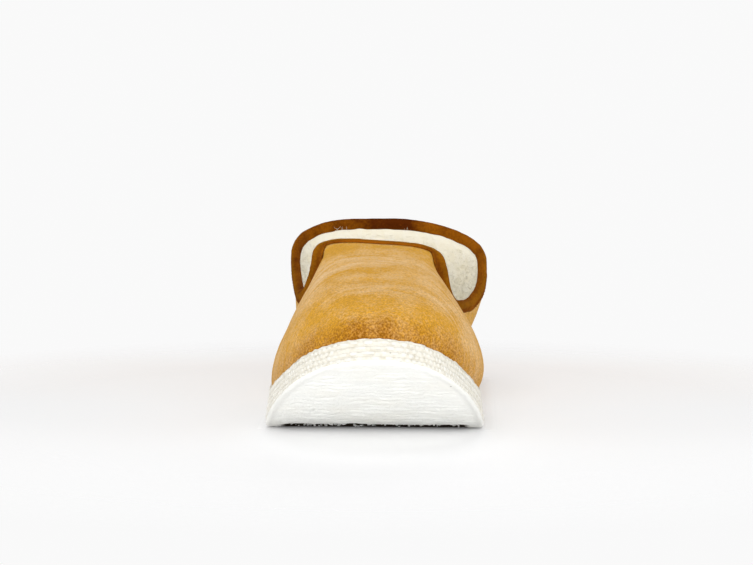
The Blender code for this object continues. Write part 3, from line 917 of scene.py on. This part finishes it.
def makeBinding():
    s = stations(binding["around"])
    wide = stripWidth(s)
    inside = insideWidth(s)
    far = form["gap"] + binding["thickness"]
    radius = form["wall"] / 2.0 + far
    rim = np.ones(len(s))
    along = unit(roundTheFoot(s, rim))
    up = upTheWall(s, rim)
    up = unit(up - along * np.sum(along * up, axis=-1, keepdims=True))
    legs = np.linspace(1.0, 0.0, binding["legSteps"])
    outerV = belowRim(s, legs[:, None] * wide)
    innerV = belowRim(s, legs[::-1, None] * inside)

    def leg(v, out):
        return upperPoint(s, v) + upperNormal(s, v) * out

    loops = []
    folds = []
    hem = 0.45 * smooth(3.0, 5.0, wide)   # a paler cut edge, but not on the narrow strip
    for share, v in zip(legs, outerV):   # outer leg, from its edge up to the fold
        loops.append(leg(v, far - binding["thinEdge"] * smooth(0.82, 1.0, share)))
        folds.append(np.maximum(hem * smooth(0.75, 0.95, share), smooth(0.45, 0.0, share)))
    for turn in np.linspace(0.0, math.pi, binding["crownSteps"] + 1)[1:-1]:
        loops.append(leg(rim, radius * math.cos(turn) - form["wall"] / 2.0) + up * radius * math.sin(turn))
        folds.append(0.0 * s + smooth(1.7, 0.5, turn))
    for share, v in zip(legs[::-1], innerV):   # inner leg, down to its edge
        loops.append(leg(v, -form["wall"] - far + binding["thinEdge"] * smooth(0.75, 1.0, share)))
        folds.append(0.0 * s + 0.3 * smooth(0.7, 1.0, share))
    shown = len(loops)
    loops.append(leg(innerV[-1], -form["wall"] - form["gap"]))
    loops.append(leg(rim, -form["wall"] - form["gap"]) + up * form["gap"])
    loops.append(leg(rim, form["gap"]) + up * form["gap"])
    loops.append(leg(outerV[0], form["gap"]))
    folds += [0.0 * s] * 4

    points = np.array(loops)
    pucker = layered(points, binding["pucker"])
    middle = leg(rim, -form["wall"] / 2.0)
    points[:shown] += unit(points[:shown] - middle) * pucker[:shown, :, None]
    mesh = buildMesh("collar_strip", [(points, ringFaces(len(loops), len(s), closed=True))])
    side = np.minimum(s, 2.0 - s)
    # less painted highlight on the fold along the sides of the collar
    matt = 1.0 - 0.55 * smooth(0.20, 0.27, side) * fadeOut(0.68, 0.80, side)
    keepValues(mesh, "foldedEdge", np.array(folds) * matt)
    pale = sum(much * hump(s, at, reach) for at, reach, much in binding["wearAndShade"])
    keepValues(mesh, "wearAndShade", np.repeat(pale[None, :], len(loops), axis=0))
    seat(newPiece("collar_strip", mesh, makeBrownSuede()), "collar_binding")


def evenPlaces(path, pitch, first=0.0):   # s values a pitch apart along a closed path of (s, point)
    s, points = path
    steps = np.linalg.norm(np.diff(np.concatenate([points, points[:1]]), axis=0), axis=-1) / pitch
    turns = np.concatenate([[0.0], np.cumsum(steps)])
    count = int(round(turns[-1]))
    at = (np.arange(count) + first) * turns[-1] / count
    return np.interp(at, turns, np.append(s, 2.0))


def makeStitches():
    s = stations(binding["stitchPath"])
    v = belowRim(s, [binding["stitchAt"] * stripWidth(s)])[0]
    places = evenPlaces((s, upperPoint(s, v)), binding["stitchPitch"])
    places = places[stripWidth(places) > binding["stitchFrom"]]
    v = belowRim(places, [binding["stitchAt"] * stripWidth(places)])[0]
    out = upperNormal(places, v)
    points = upperPoint(places, v) + out * (form["gap"] + binding["thickness"] - binding["stitchSunk"])
    material, tree, shader, where = newMaterial("bindingThread", 0.7, specular=0.1)
    colour = mixColour(tree, noiseAt(tree, where, 0.0007), binding["thread"], binding["brown"])
    dress(tree, shader, colour)
    along = unit(roundTheFoot(places, v))
    seeds = pointMesh("binding_stitches", points, along, out, np.array(binding["stitchSize"]))
    piece = grow("binding_stitches", seeds, bitsTree, {"Uneven": 0.12, "Seed": 3, "Material": material})
    seat(piece)


makeBinding()
makeStitches()


# wool lining, footbed and their pile
wool = {
    "around": 360,
    "rows": 54,
    "depth": 1.0,           # mm, lining in front of the wall
    "behindBinding": 0.7,   # mm of it that the binding's inner leg covers
    "liningLumps": ((0.22, 4.2, 21), (0.08, 1.7, 22)),   # height and size in mm, seed
    "skin": 0.5,            # mm
    "bedAround": 520,
    "bedColumns": 64,
    "bedThickness": 4.0,
    "bedInset": 6.2,
    "bedEase": 1.8,
    "bedCrown": 0.5,
    "bedLumps": ((0.40, 4.6, 23), (0.20, 1.9, 24)),
    "clumpSize": 0.006,     # metres
    "clumpDepth": 0.0010,
    "liningDensity": 520000.0,
    "bedDensity": 420000.0,
    "hairLength": 0.0030,
    "hairThickness": 0.00013,
    "hairLean": (0.6, 1.25),
    "cream": (0.862, 0.834, 0.742),
    "shadow": (0.832, 0.782, 0.638),
}


def makeWool():
    material, tree, shader, where = newMaterial(
        "creamWool", 0.95, sheen=0.35, sheenTint=(1.0, 0.97, 0.90), specular=0.05)
    clumps = useGroup(tree, clumpGroup, {"Vector": where, "Clump Size": wool["clumpSize"]})
    colour = mixColour(tree, clumps["Shade"], wool["shadow"], wool["cream"])
    dress(tree, shader, colour, clumps["Height"], wool["clumpDepth"], 0.4)
    return material


woolMaterial = makeWool()


def makeLining():
    s = stations(wool["around"])
    top = belowRim(s, [np.maximum(insideWidth(s) - wool["behindBinding"], 0.2)])[0]
    shares = np.linspace(0.015, 1.0, wool["rows"])
    rows = []
    for share in shares:
        v = top * share
        deep = form["wall"] + wool["depth"] * (0.55 + 0.45 * math.sin(math.pi * share))
        base = upperPoint(s, v)
        lumps = layered(base, wool["liningLumps"]) * smooth(1.0, 0.94, share)
        rows.append(base - upperNormal(s, v) * (deep + lumps)[:, None])
    faces = ringFaces(len(rows), len(s))[:, ::-1]   # faces look into the shoe
    piece = newPiece("wool_lining", buildMesh("wool_lining", [(np.array(rows), faces)]), woolMaterial)
    surface = buildMesh("pile_ground", [(np.array(rows[:-3]), ringFaces(len(rows) - 3, len(s))[:, ::-1])])
    sheet = piece.modifiers.new("skin", "SOLIDIFY")
    sheet.thickness = wool["skin"] * mm
    sheet.offset = -1.0
    seat(settle(piece))
    return surface


def makeFootbed():
    s = stations(wool["bedAround"])
    bottom = form["gap"]
    top = form["gap"] + wool["bedThickness"]
    ease = wool["bedEase"]
    profile = [(bottom, wool["bedInset"] + 0.4), (top - ease, wool["bedInset"])]
    for turn in np.linspace(0.0, math.pi / 2.0, 5)[1:]:
        profile.append((top - ease + ease * math.sin(turn), wool["bedInset"] + ease * (1.0 - math.cos(turn))))
    rings = [solePoint(s, 1.0, inset, above) for above, inset in profile]
    columns = wool["bedColumns"]
    lower, upper = (spanRows(ring, columns) for ring in (rings[0], rings[-1]))
    edge = np.minimum(np.arange(columns + 1), columns - np.arange(columns + 1)) / columns
    upper[..., 2] += smooth(0.0, 0.12, edge)[None, :] * (wool["bedCrown"] + layered(upper, wool["bedLumps"]))
    chunks = [(np.array(rings), ringFaces(len(rings), len(s))),
              capChunk(rings[0], lower), capChunk(rings[-1], upper)]
    piece = newPiece("wool_footbed", buildMesh("wool_footbed", chunks), woolMaterial)
    surface = bpy.data.meshes.new("bed_top")
    bm = bmesh.new()
    bm.from_mesh(piece.data)
    bmesh.ops.delete(bm, geom=[f for f in bm.faces if f.normal.z < 0.3], context="FACES")
    bm.to_mesh(surface)
    bm.free()
    seat(piece, "insole")
    return surface


def makePile(name, surface, density, seed):
    least, most = wool["hairLean"]
    values = {"Density": density, "Length": wool["hairLength"], "Thickness": wool["hairThickness"],
              "Least Lean": least, "Most Lean": most, "Seed": seed, "Material": woolMaterial}
    seat(grow(name, surface, hairTree, values))


makePile("lining_pile", makeLining(), wool["liningDensity"], 5)
makePile("footbed_pile", makeFootbed(), wool["bedDensity"], 6)


# foam sole with ribs, woven band and wavy tread
sole = {
    "around": 1000,
    "columns": 96,
    "topColumns": 6,
    "lowerEdge": (2.2, 0.10),      # mm in, share of the height
    "ribEnds": (0.11, 0.96),
    "ribs": 4,
    "ribDepth": 0.6,
    "cellPath": 1200,
    "cellPitch": 2.4,              # mm, at the sides
    "toeCell": (7.0, 14.0),        # mm, longer dashes at the toe and how far they reach across
    "cellProud": 0.32,
    "cellThickness": 1.3,
    "cellHeight": 0.94,            # share of a rib
    "raggedCells": 0.25,           # mm up, for the row along the suede
    "ragged": ((0.55, 3.0, 37),),  # height and size in mm, seed
    "weaveLumps": ((0.25, 2.4, 33),),
    "topRaised": 0.35,             # mm
    "topLumps": ((0.35, 3.2, 36), (0.25, 1.4, 38)),
    "lipIn": 0.2,                  # mm
    "lipLumps": ((0.22, 2.6, 39), (0.16, 1.3, 40)),
    "treadPitch": (3.2, 4.8),      # mm, at the toe and near the floor
    "treadLength": 6.5,            # mm, of single crinkles
    "treadWave": 0.40,
    "treadDepth": (0.75, 1.35),    # mm, at the toe and near the floor
    "treadDeepens": (30.0, 80.0),  # mm from the toe
    "treadEdge": (-0.3, 5.5),      # mm in from the outline, where the lines fade in
    "recess": 2.6,                 # mm, a hollow where the sole comes down to the floor, its ceiling painted dark as shade
    "recessFrom": (73.2, 76.8),    # mm from the toe
    "recessTo": (82.0, 90.0),
    # mm from the toe, where the painted shade in the hollow fades out
    "paintedShadeTo": (96.0, 108.0),
    "recessRim": (6.0, 10.0),      # mm in from the outline
    "white": (0.878, 0.880, 0.850),
    "ivory": (0.880, 0.872, 0.825),
    # the band's cells and the woven wall between them are the white foam painted darker: painted shade,
    # deepest on the wall in the gaps
    "cells": (0.715, 0.700, 0.650),
    "cellsDark": (0.670, 0.645, 0.570),
    "weave": (0.690, 0.665, 0.595),
    "weaveDark": (0.580, 0.545, 0.455),
    "speck": (0.10, 0.09, 0.07),
    # dark brown of the painted shade in the hollow and along the lip's lower edge
    "shadeBrown": (0.045, 0.030, 0.016),
    # painted shade along the lower edge of the lip, stronger at the sides
    "lipShade": 0.14,
    "lipReach": (2.0, 5.0),        # mm in from the outline
    "poreSize": 0.0013,            # metres
    "poreDepth": 0.0006,
}

# dark specks on the sole, in mm of the finished part
specks = ((8.6, -131.0, 46.5, 0.28), (35.5, -112.4, 28.6, 0.24), (0.6, -132.8, 41.6, 0.16))


def makeFoam(name, pale, dark, mottle):
    material, tree, shader, where = newMaterial(name, 0.75, specular=0.2)
    pores = noiseAt(tree, where, sole["poreSize"], 3.0, 0.6)
    stain = remap(tree, noiseAt(tree, where, mottle, 3.0), 0.42, 0.72)
    colour = mixColour(tree, stain, pale, dark)
    for x, y, z, radius in specks:
        away = vector2(tree, "DISTANCE", where, (x * mm, y * mm, z * mm))["Value"]
        near = remap(tree, away, radius * mm, 2.2 * radius * mm, 0.85, 0.0)
        colour = mixColour(tree, near, colour, sole["speck"])
    # painted shade: the hollow under the toe and the lip's lower edge darkened
    colour = mixColour(tree, keptValue(tree, "paintedShade"), colour, sole["shadeBrown"])
    dress(tree, shader, colour, pores, sole["poreDepth"], 0.8)
    return material


foam = makeFoam("whiteFoam", sole["white"], sole["ivory"], 0.020)
# darker copies of the white foam: painted shade on the band
wovenFoam = makeFoam("wovenFoam", sole["weave"], sole["weaveDark"], 0.003)
cellFoam = makeFoam("cellFoam", sole["cells"], sole["cellsDark"], 0.004)


def wallRows():   # share of the height and inset, from the lower to the upper edge
    deep, high = sole["lowerEdge"]
    rows = []
    for turn in np.linspace(0.0, math.pi / 2.0, 7):
        rows.append((high * (1.0 - math.cos(turn)), deep * (1.0 - math.sin(turn))))
    first, last = sole["ribEnds"]
    rows.append(((high + first) / 2.0, 0.0))
    steps = sole["ribs"] * 6
    for k in range(steps + 1):
        share = k / steps
        groove = abs(math.cos(math.pi * sole["ribs"] * share)) ** 3
        rows.append((first + (last - first) * share, sole["ribDepth"] * groove))
    for turn in np.linspace(0.0, math.pi / 2.0, 5)[1:]:
        rows.append((last + (1.0 - last) * math.sin(turn), form["topEdge"] * (1.0 - math.cos(turn))))
    return [(share, inset + form["taper"] * share) for share, inset in rows]


def treadLift(rows, inward):   # how far each point of the underside lies above the plain form
    x = rows[..., 0]
    d = behindToe(rows)

    def flatNoise(a, b, size, seed):
        return softNoise(np.stack([a, b, 0.0 * x], axis=-1), size, seed)

    close, wide = sole["treadPitch"]
    turns = d / (close + (wide - close) * np.clip(d / 80.0, 0.0, 1.0) / 2.0)
    for size, share in ((5.0, 1.0), (2.4, 0.5)):   # lines wander and crinkle
        turns = turns + sole["treadWave"] * share * flatNoise(x / size, turns, 1.0, 31)
    line = (0.5 + 0.5 * np.cos(2.0 * math.pi * turns)) ** 2.5
    broken = smooth(-0.4, 0.4, flatNoise(x / sole["treadLength"], turns, 1.0, 32))
    shallow, deep = sole["treadDepth"]
    depth = shallow + (deep - shallow) * smooth(*sole["treadDeepens"], d)
    grooves = depth * line * (0.2 + 0.8 * broken) * smooth(*sole["treadEdge"], inward)
    ragged = d + 1.2 * flatNoise(x / 2.2, d, 2.2, 35)
    hollow = smooth(*sole["recessFrom"], ragged) * smooth(*sole["recessRim"], inward)
    return grooves * (1.0 - hollow) + sole["recess"] * hollow * fadeOut(*sole["recessTo"], d)


def makeSole():
    s = stations(sole["around"])
    wall = wallRows()
    rings = np.array([solePoint(s, share, inset) for share, inset in wall])
    rows = np.array([share for share, inset in wall])
    first = sole["ribEnds"][0]
    outX, outD = outlineNormal(s)
    weave = layered(rings, sole["weaveLumps"]) * smooth(first - 0.02, first + 0.04, rows)[:, None]
    rings[..., 0] += outX * weave
    rings[..., 1] += outD * weave
    rings[-5:, :, 2] += sole["topRaised"] + layered(rings[-5:], sole["topLumps"])
    lip = rows < first
    rough = sole["lipIn"] + layered(rings[lip], sole["lipLumps"])
    rings[lip, :, 0] -= outX * rough
    rings[lip, :, 1] -= outD * rough

    lower = spanRows(rings[0], sole["columns"])
    width = np.linalg.norm(lower[:, -1] - lower[:, 0], axis=-1)[:, None]
    share = np.linspace(0.0, 1.0, sole["columns"] + 1)[None, :]
    tip = np.minimum(lower[..., 1] - rings[0, 0, 1], rings[0, len(s) // 2, 1] - lower[..., 1])
    lower[..., 2] += treadLift(lower, np.minimum(np.minimum(share, 1.0 - share) * width, tip))
    mesh = buildMesh("foam_sole", [
        (rings, ringFaces(len(rings), len(s))), capChunk(rings[0], lower),
        capChunk(rings[-1], spanRows(rings[-1], sole["topColumns"]))])

    places = np.array([v.co for v in mesh.vertices]) / mm - shift
    down = np.array([v.normal[2] for v in mesh.vertices]) < -0.3
    d = behindToe(places)
    above = places[:, 2] - underside(d)
    across = places[:, 0] - swing(d)
    inward = halfWidth(np.clip(d, 0.0, form["length"]), np.where(across < 0.0, -1.0, 1.0)) - np.abs(across)
    # painted shade along the lip's lower edge, stronger at the sides, and in the hollow that faces down
    wearAndShade = fadeOut(0.10, 0.16, above / soleThickness(d)) * fadeOut(*sole["lipReach"], inward)
    wearAndShade = sole["lipShade"] * wearAndShade * (0.5 + 0.5 * smooth(8.0, 35.0, np.abs(across)))
    paintedShade = smooth(*sole["recessFrom"], d) * smooth(*sole["recessRim"], inward)
    paintedShade = paintedShade * fadeOut(*sole["paintedShadeTo"], d) * down
    keepValues(mesh, "paintedShade", np.maximum(wearAndShade, paintedShade))
    piece = newPiece("foam_sole", mesh, foam)
    # the band's rib rows get the darker foam: painted shade in the gaps between the cells
    mesh.materials.append(wovenFoam)
    wovenRow = rows[:-1] > first + 0.02
    marks = np.zeros(len(mesh.polygons), np.int32)
    marks[:len(wovenRow) * len(s)] = np.repeat(wovenRow.astype(np.int32), len(s))
    mesh.polygons.foreach_set("material_index", marks)
    seat(piece, "outsole")


def makeBand():   # pillow cells of the woven band, row by row
    first, last = sole["ribEnds"]
    height = (last - first) / sole["ribs"]
    usual = sole["cellPitch"]
    longest, reach = sole["toeCell"]
    s = stations(sole["cellPath"])
    parts = []
    for row in range(sole["ribs"]):
        share = first + (row + 0.5) * height
        inset = form["taper"] * share
        path = solePoint(s, share, inset)
        pitch = usual + (longest - usual) * hump(path[:, 0], 0.0, reach) * (path[:, 1] < 0)
        places = evenPlaces((s, path), pitch, 0.5 * (row % 2))
        points = solePoint(places, share, inset)
        along = unit(solePoint(places + nudge, share, inset) - solePoint(places - nudge, share, inset))
        up = solePoint(places, share + 0.01, inset) - solePoint(places, share - 0.01, inset)
        out = unit(np.cross(up, along))
        if row == sole["ribs"] - 1:   # ragged along the suede
            points = points + unit(up) * (sole["raggedCells"] + layered(points, sole["ragged"]))[:, None]
        size = np.empty_like(points)
        size[:, 0] = np.interp(places, np.append(s, 2.0), np.append(pitch, pitch[0]))
        size[:, 1] = soleThickness(outline(places)[1]) * height * sole["cellHeight"]
        size[:, 2] = sole["cellThickness"]
        parts.append((points + out * (sole["cellProud"] - sole["cellThickness"] / 2.0), along, out, size))
    seeds = pointMesh("band_weave", *(np.concatenate(part) for part in zip(*parts)))
    piece = grow("band_weave", seeds, bitsTree, {"Uneven": 0.22, "Seed": 8, "Material": cellFoam})
    seat(piece)


makeSole()
makeBand()


# torn shreds of foam where the sole meets the floor, in mm
shreds = {
    "count": 80,
    "across": (-46.0, 41.0),
    "fromToe": (75.0, 88.0),
    "size": (0.9, 3.0),
    "tall": (0.5, 1.5),
    "raised": (0.0, 1.0),
    "tilt": 0.3,
    "seed": 41,
}


def makeShreds():
    random = np.random.default_rng(shreds["seed"])
    count = shreds["count"]
    d = random.uniform(*shreds["fromToe"], count)
    x = random.uniform(*shreds["across"], count)
    long = random.uniform(*shreds["size"], count)
    tall = random.uniform(*shreds["tall"], count)
    z = underside(d) + tall * 0.5 + random.uniform(*shreds["raised"], count)
    turn = random.uniform(0.0, 2.0 * math.pi, count)
    along = np.stack([np.cos(turn), 0.5 * np.sin(turn), random.uniform(-0.4, 0.4, count)], axis=-1)
    tiltX = random.normal(0.0, shreds["tilt"], count)
    tiltY = random.normal(0.0, shreds["tilt"], count)
    out = unit(np.stack([tiltX, tiltY, np.ones(count)], axis=-1))
    points = np.stack([x, d - form["length"] / 2.0, z], axis=-1)
    size = np.stack([long, 0.55 * long, tall], axis=-1)
    seeds = pointMesh("foam_shreds", points, unit(along), out, size)
    seat(grow("foam_shreds", seeds, bitsTree, {"Uneven": 0.25, "Seed": 9, "Material": foam}))


makeShreds()


# pale wool hairs that cling to the binding: where round the foot, how many, how far they spread
strays = {
    "places": ((0.872, 7, 0.010), (1.025, 3, 0.006), (0.63, 2, 0.02)),
    "thickness": 0.00006,
    "length": 3.2,        # mm
    "clear": 0.25,        # mm off the binding
    "steps": 7,
    "seed": 17,
    "colour": (0.45, 0.30, 0.18),
}


def makeStrays():
    random = np.random.default_rng(strays["seed"])
    inner = form["wall"] + form["gap"] + binding["thickness"] + strays["clear"]
    points = []
    edges = []
    for at, count, spread in strays["places"]:
        for k in range(count):
            s = np.array([at + spread * random.normal()])
            reach = strays["length"] * random.uniform(0.5, 1.2)
            drift = random.uniform(-1.0, 1.0)
            bend = random.uniform(-1.0, 1.0)
            start = random.uniform(1.0, 3.2)
            for step, share in enumerate(np.linspace(0.0, 1.0, strays["steps"])):
                drop = start + (share - 0.3) * reach * 0.6
                place = s + (drift * share + bend * share * share) * reach * 0.0035
                v = belowRim(place, [max(drop, 0.0)])[0]
                out = upperNormal(place, v)
                up = np.array([0.0, 0.0, max(-drop, 0.0) + 1.5 * max(0.0, 1.0 - drop)])
                points.append(upperPoint(place, v)[0] - out[0] * inner + up)
                if step:
                    edges.append((len(points) - 2, len(points) - 1))
    mesh = bpy.data.meshes.new("stray_wool")
    mesh.from_pydata(((np.array(points) + shift) * mm).tolist(), edges, [])
    material, tree, shader, where = newMaterial("strayWool", 0.8)
    tint = noiseAt(tree, where, 0.004)
    dress(tree, shader, mixColour(tree, tint, strays["colour"], wool["cream"]))
    piece = grow("stray_wool", mesh, threadTree, {"Thickness": strays["thickness"], "Material": material})
    seat(piece)


makeStrays()


# floor and light
studio = {
    "floorSize": 3.0,
    "floorFades": (0.20, 0.32),      # metres from the slipper, into the white behind
    # middle and reach of the floor that keeps its full shadow
    "footprint": ((0.0, 0.040, 0.0), (0.056, 0.094, 1.0)),
    "paleShadow": (0.90, 1.02, 0.62),   # footprints away, and how strong the shadow is there
    "floorColour": (0.90, 0.90, 0.905),
    "floorWarm": (0.92, 0.870, 0.840),
    "warmFrom": (0.02, 0.18),        # metres back from the middle
    "warmTo": (0.19, 0.30),
    "white": 0.95,
    "skyLight": 0.38,
    "lightAim": (0.0, -0.03, 0.04),
    "lights": (                      # name, place, size, power
        ("key", (-0.20, -0.30, 1.90), 1.5, 11.0),
        ("front", (0.05, -1.60, 0.46), 1.7, 24.5),
        ("left", (-1.25, -0.55, 0.25), 0.6, 6.6),
        ("right", (1.25, -0.55, 0.25), 0.6, 6.6),
        ("rear", (0.30, 1.60, 0.90), 1.0, 5.0),
    ),
}


def makeFloor():
    mesh = bpy.data.meshes.new("floor")
    half = studio["floorSize"] / 2.0
    corners = [(-half, -half, 0), (half, -half, 0), (half, half, 0), (-half, half, 0)]
    mesh.from_pydata(corners, [], [(0, 1, 2, 3)])
    material, tree, shader, where = newMaterial("paleFloor", 0.8, specular=0.1)
    back = addNode(tree, "ShaderNodeSeparateXYZ", {0: where}).outputs["Y"]
    warm = math2(tree, "MULTIPLY", remap(tree, back, *studio["warmFrom"]),
                 remap(tree, back, *studio["warmTo"], 1.0, 0.0))
    colour = mixColour(tree, warm, studio["floorColour"], studio["floorWarm"])
    dress(tree, shader, colour)
    middle, reach = studio["footprint"]
    beside = vector2(tree, "DIVIDE", vector2(tree, "SUBTRACT", where, middle)[0], reach)[0]
    beside = addNode(tree, "ShaderNodeSeparateXYZ", {0: vector2(tree, "ABSOLUTE", beside)[0]}).outputs
    beside = math2(tree, "MAXIMUM", beside["X"], beside["Y"])
    near, far, strength = studio["paleShadow"]
    seen = addNode(tree, "ShaderNodeLightPath").outputs["Is Camera Ray"]
    clear = math2(tree, "MULTIPLY", seen, remap(tree, beside, near, far, 0.0, 1.0 - strength))
    away = vector2(tree, "LENGTH", where)["Value"]
    fade = remap(tree, away, *studio["floorFades"], 1.0, 0.0)
    shown = math2(tree, "MULTIPLY", fade, math2(tree, "SUBTRACT", 1.0, clear))
    tree.links.new(shown, shader.inputs["Alpha"])
    newPiece("floor", mesh, material)


def makeLight(name, place, size, power):
    light = bpy.data.lights.new(name, "AREA")
    light.shape = "DISK"
    light.size = size
    light.energy = power
    lamp = bpy.data.objects.new(name, light)
    lamp.location = place
    lamp.rotation_mode = "QUATERNION"
    lamp.rotation_quaternion = (Vector(studio["lightAim"]) - Vector(place)).to_track_quat("-Z", "Y")
    lamp.visible_camera = False
    scene.collection.objects.link(lamp)


def makeWorld():   # white to the camera, softer as a light
    world = bpy.data.worlds.new("studio")
    world.use_nodes = True
    tree = world.node_tree
    sky = tree.nodes["Background"]
    sky.inputs["Color"].default_value = (1.0, 1.0, 1.0, 1.0)
    seen = addNode(tree, "ShaderNodeLightPath").outputs["Is Camera Ray"]
    tree.links.new(remap(tree, seen, 0.0, 1.0, studio["skyLight"], studio["white"]), sky.inputs["Strength"])
    scene.world = world


makeFloor()
for name, place, size, power in studio["lights"]:
    makeLight(name, place, size, power)
makeWorld()

print("scene ready")
